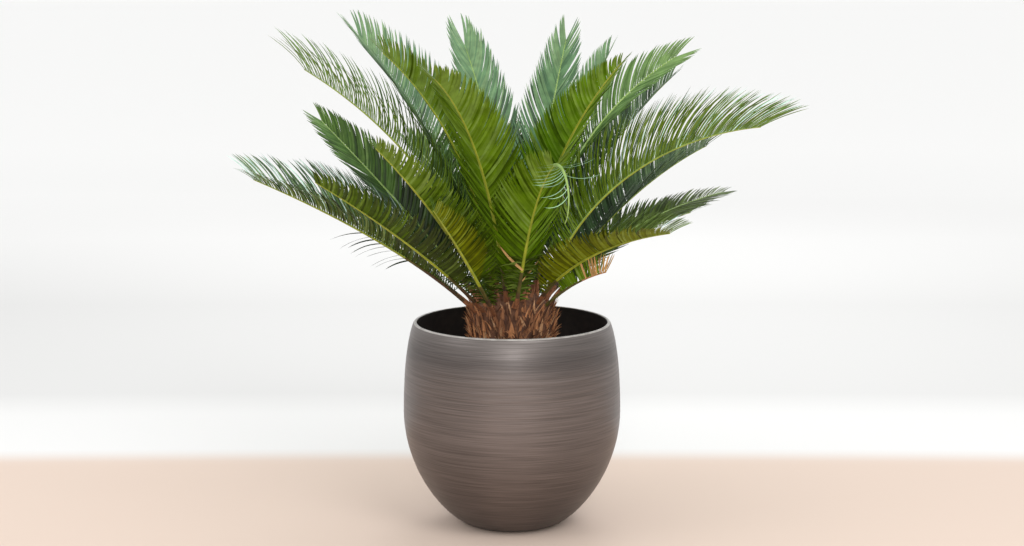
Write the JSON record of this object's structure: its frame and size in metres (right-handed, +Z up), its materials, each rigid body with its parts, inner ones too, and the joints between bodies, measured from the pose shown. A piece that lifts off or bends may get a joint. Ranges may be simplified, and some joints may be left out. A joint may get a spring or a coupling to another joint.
{
  "type": "potted sago palm",
  "caption": "Sago palm with a scaly caudex and a crown of stiff V-keeled feather fronds, in a rounded glazed pot filled with soil.",
  "frame": {"origin": "centre of the flat underside of the pot", "axes": "+Z up, +X to the right of the front view, +Y away from the front view"},
  "size_m": [0.9153, 0.9991, 0.8511],
  "materials": {
    "pot": "satin metallic glaze with fine level lines",
    "soil": "crumbly, dark",
    "caudex": "papery brown scales",
    "frond": "leathery leaflets, dark above and yellow-green below"
  },
  "bodies": {
    "root": {"pot": "pot", "soil": "soil", "caudex": "caudex", "frond_left_low": "frond", "frond_left_front_low": "frond", "frond_left_back_low": "frond", "frond_left_front": "frond", "frond_left_front_short": "frond", "frond_left_open": "frond", "frond_left_back_tall": "frond", "frond_left_front_tall": "frond", "frond_left_back_side": "frond", "frond_front_left_tall": "frond", "frond_back_left_tall": "frond", "frond_back_right_tall": "frond", "frond_front_right_tall": "frond", "frond_back_right": "frond", "frond_right_back_tall": "frond", "frond_right_tall": "frond", "frond_right_arching": "frond", "frond_right_back_low": "frond", "frond_right_low": "frond", "frond_right_front_low": "frond", "frond_right_cut": "frond", "frond_back_tall": "frond", "frond_back_left": "frond", "frond_back_low": "frond", "frond_back_left_low": "frond", "frond_back_right_low": "frond", "frond_back_middle_low": "frond", "frond_back_side_low": "frond", "frond_curled": "frond", "frond_curled_tip": "frond"}
  },
  "joints": []
}
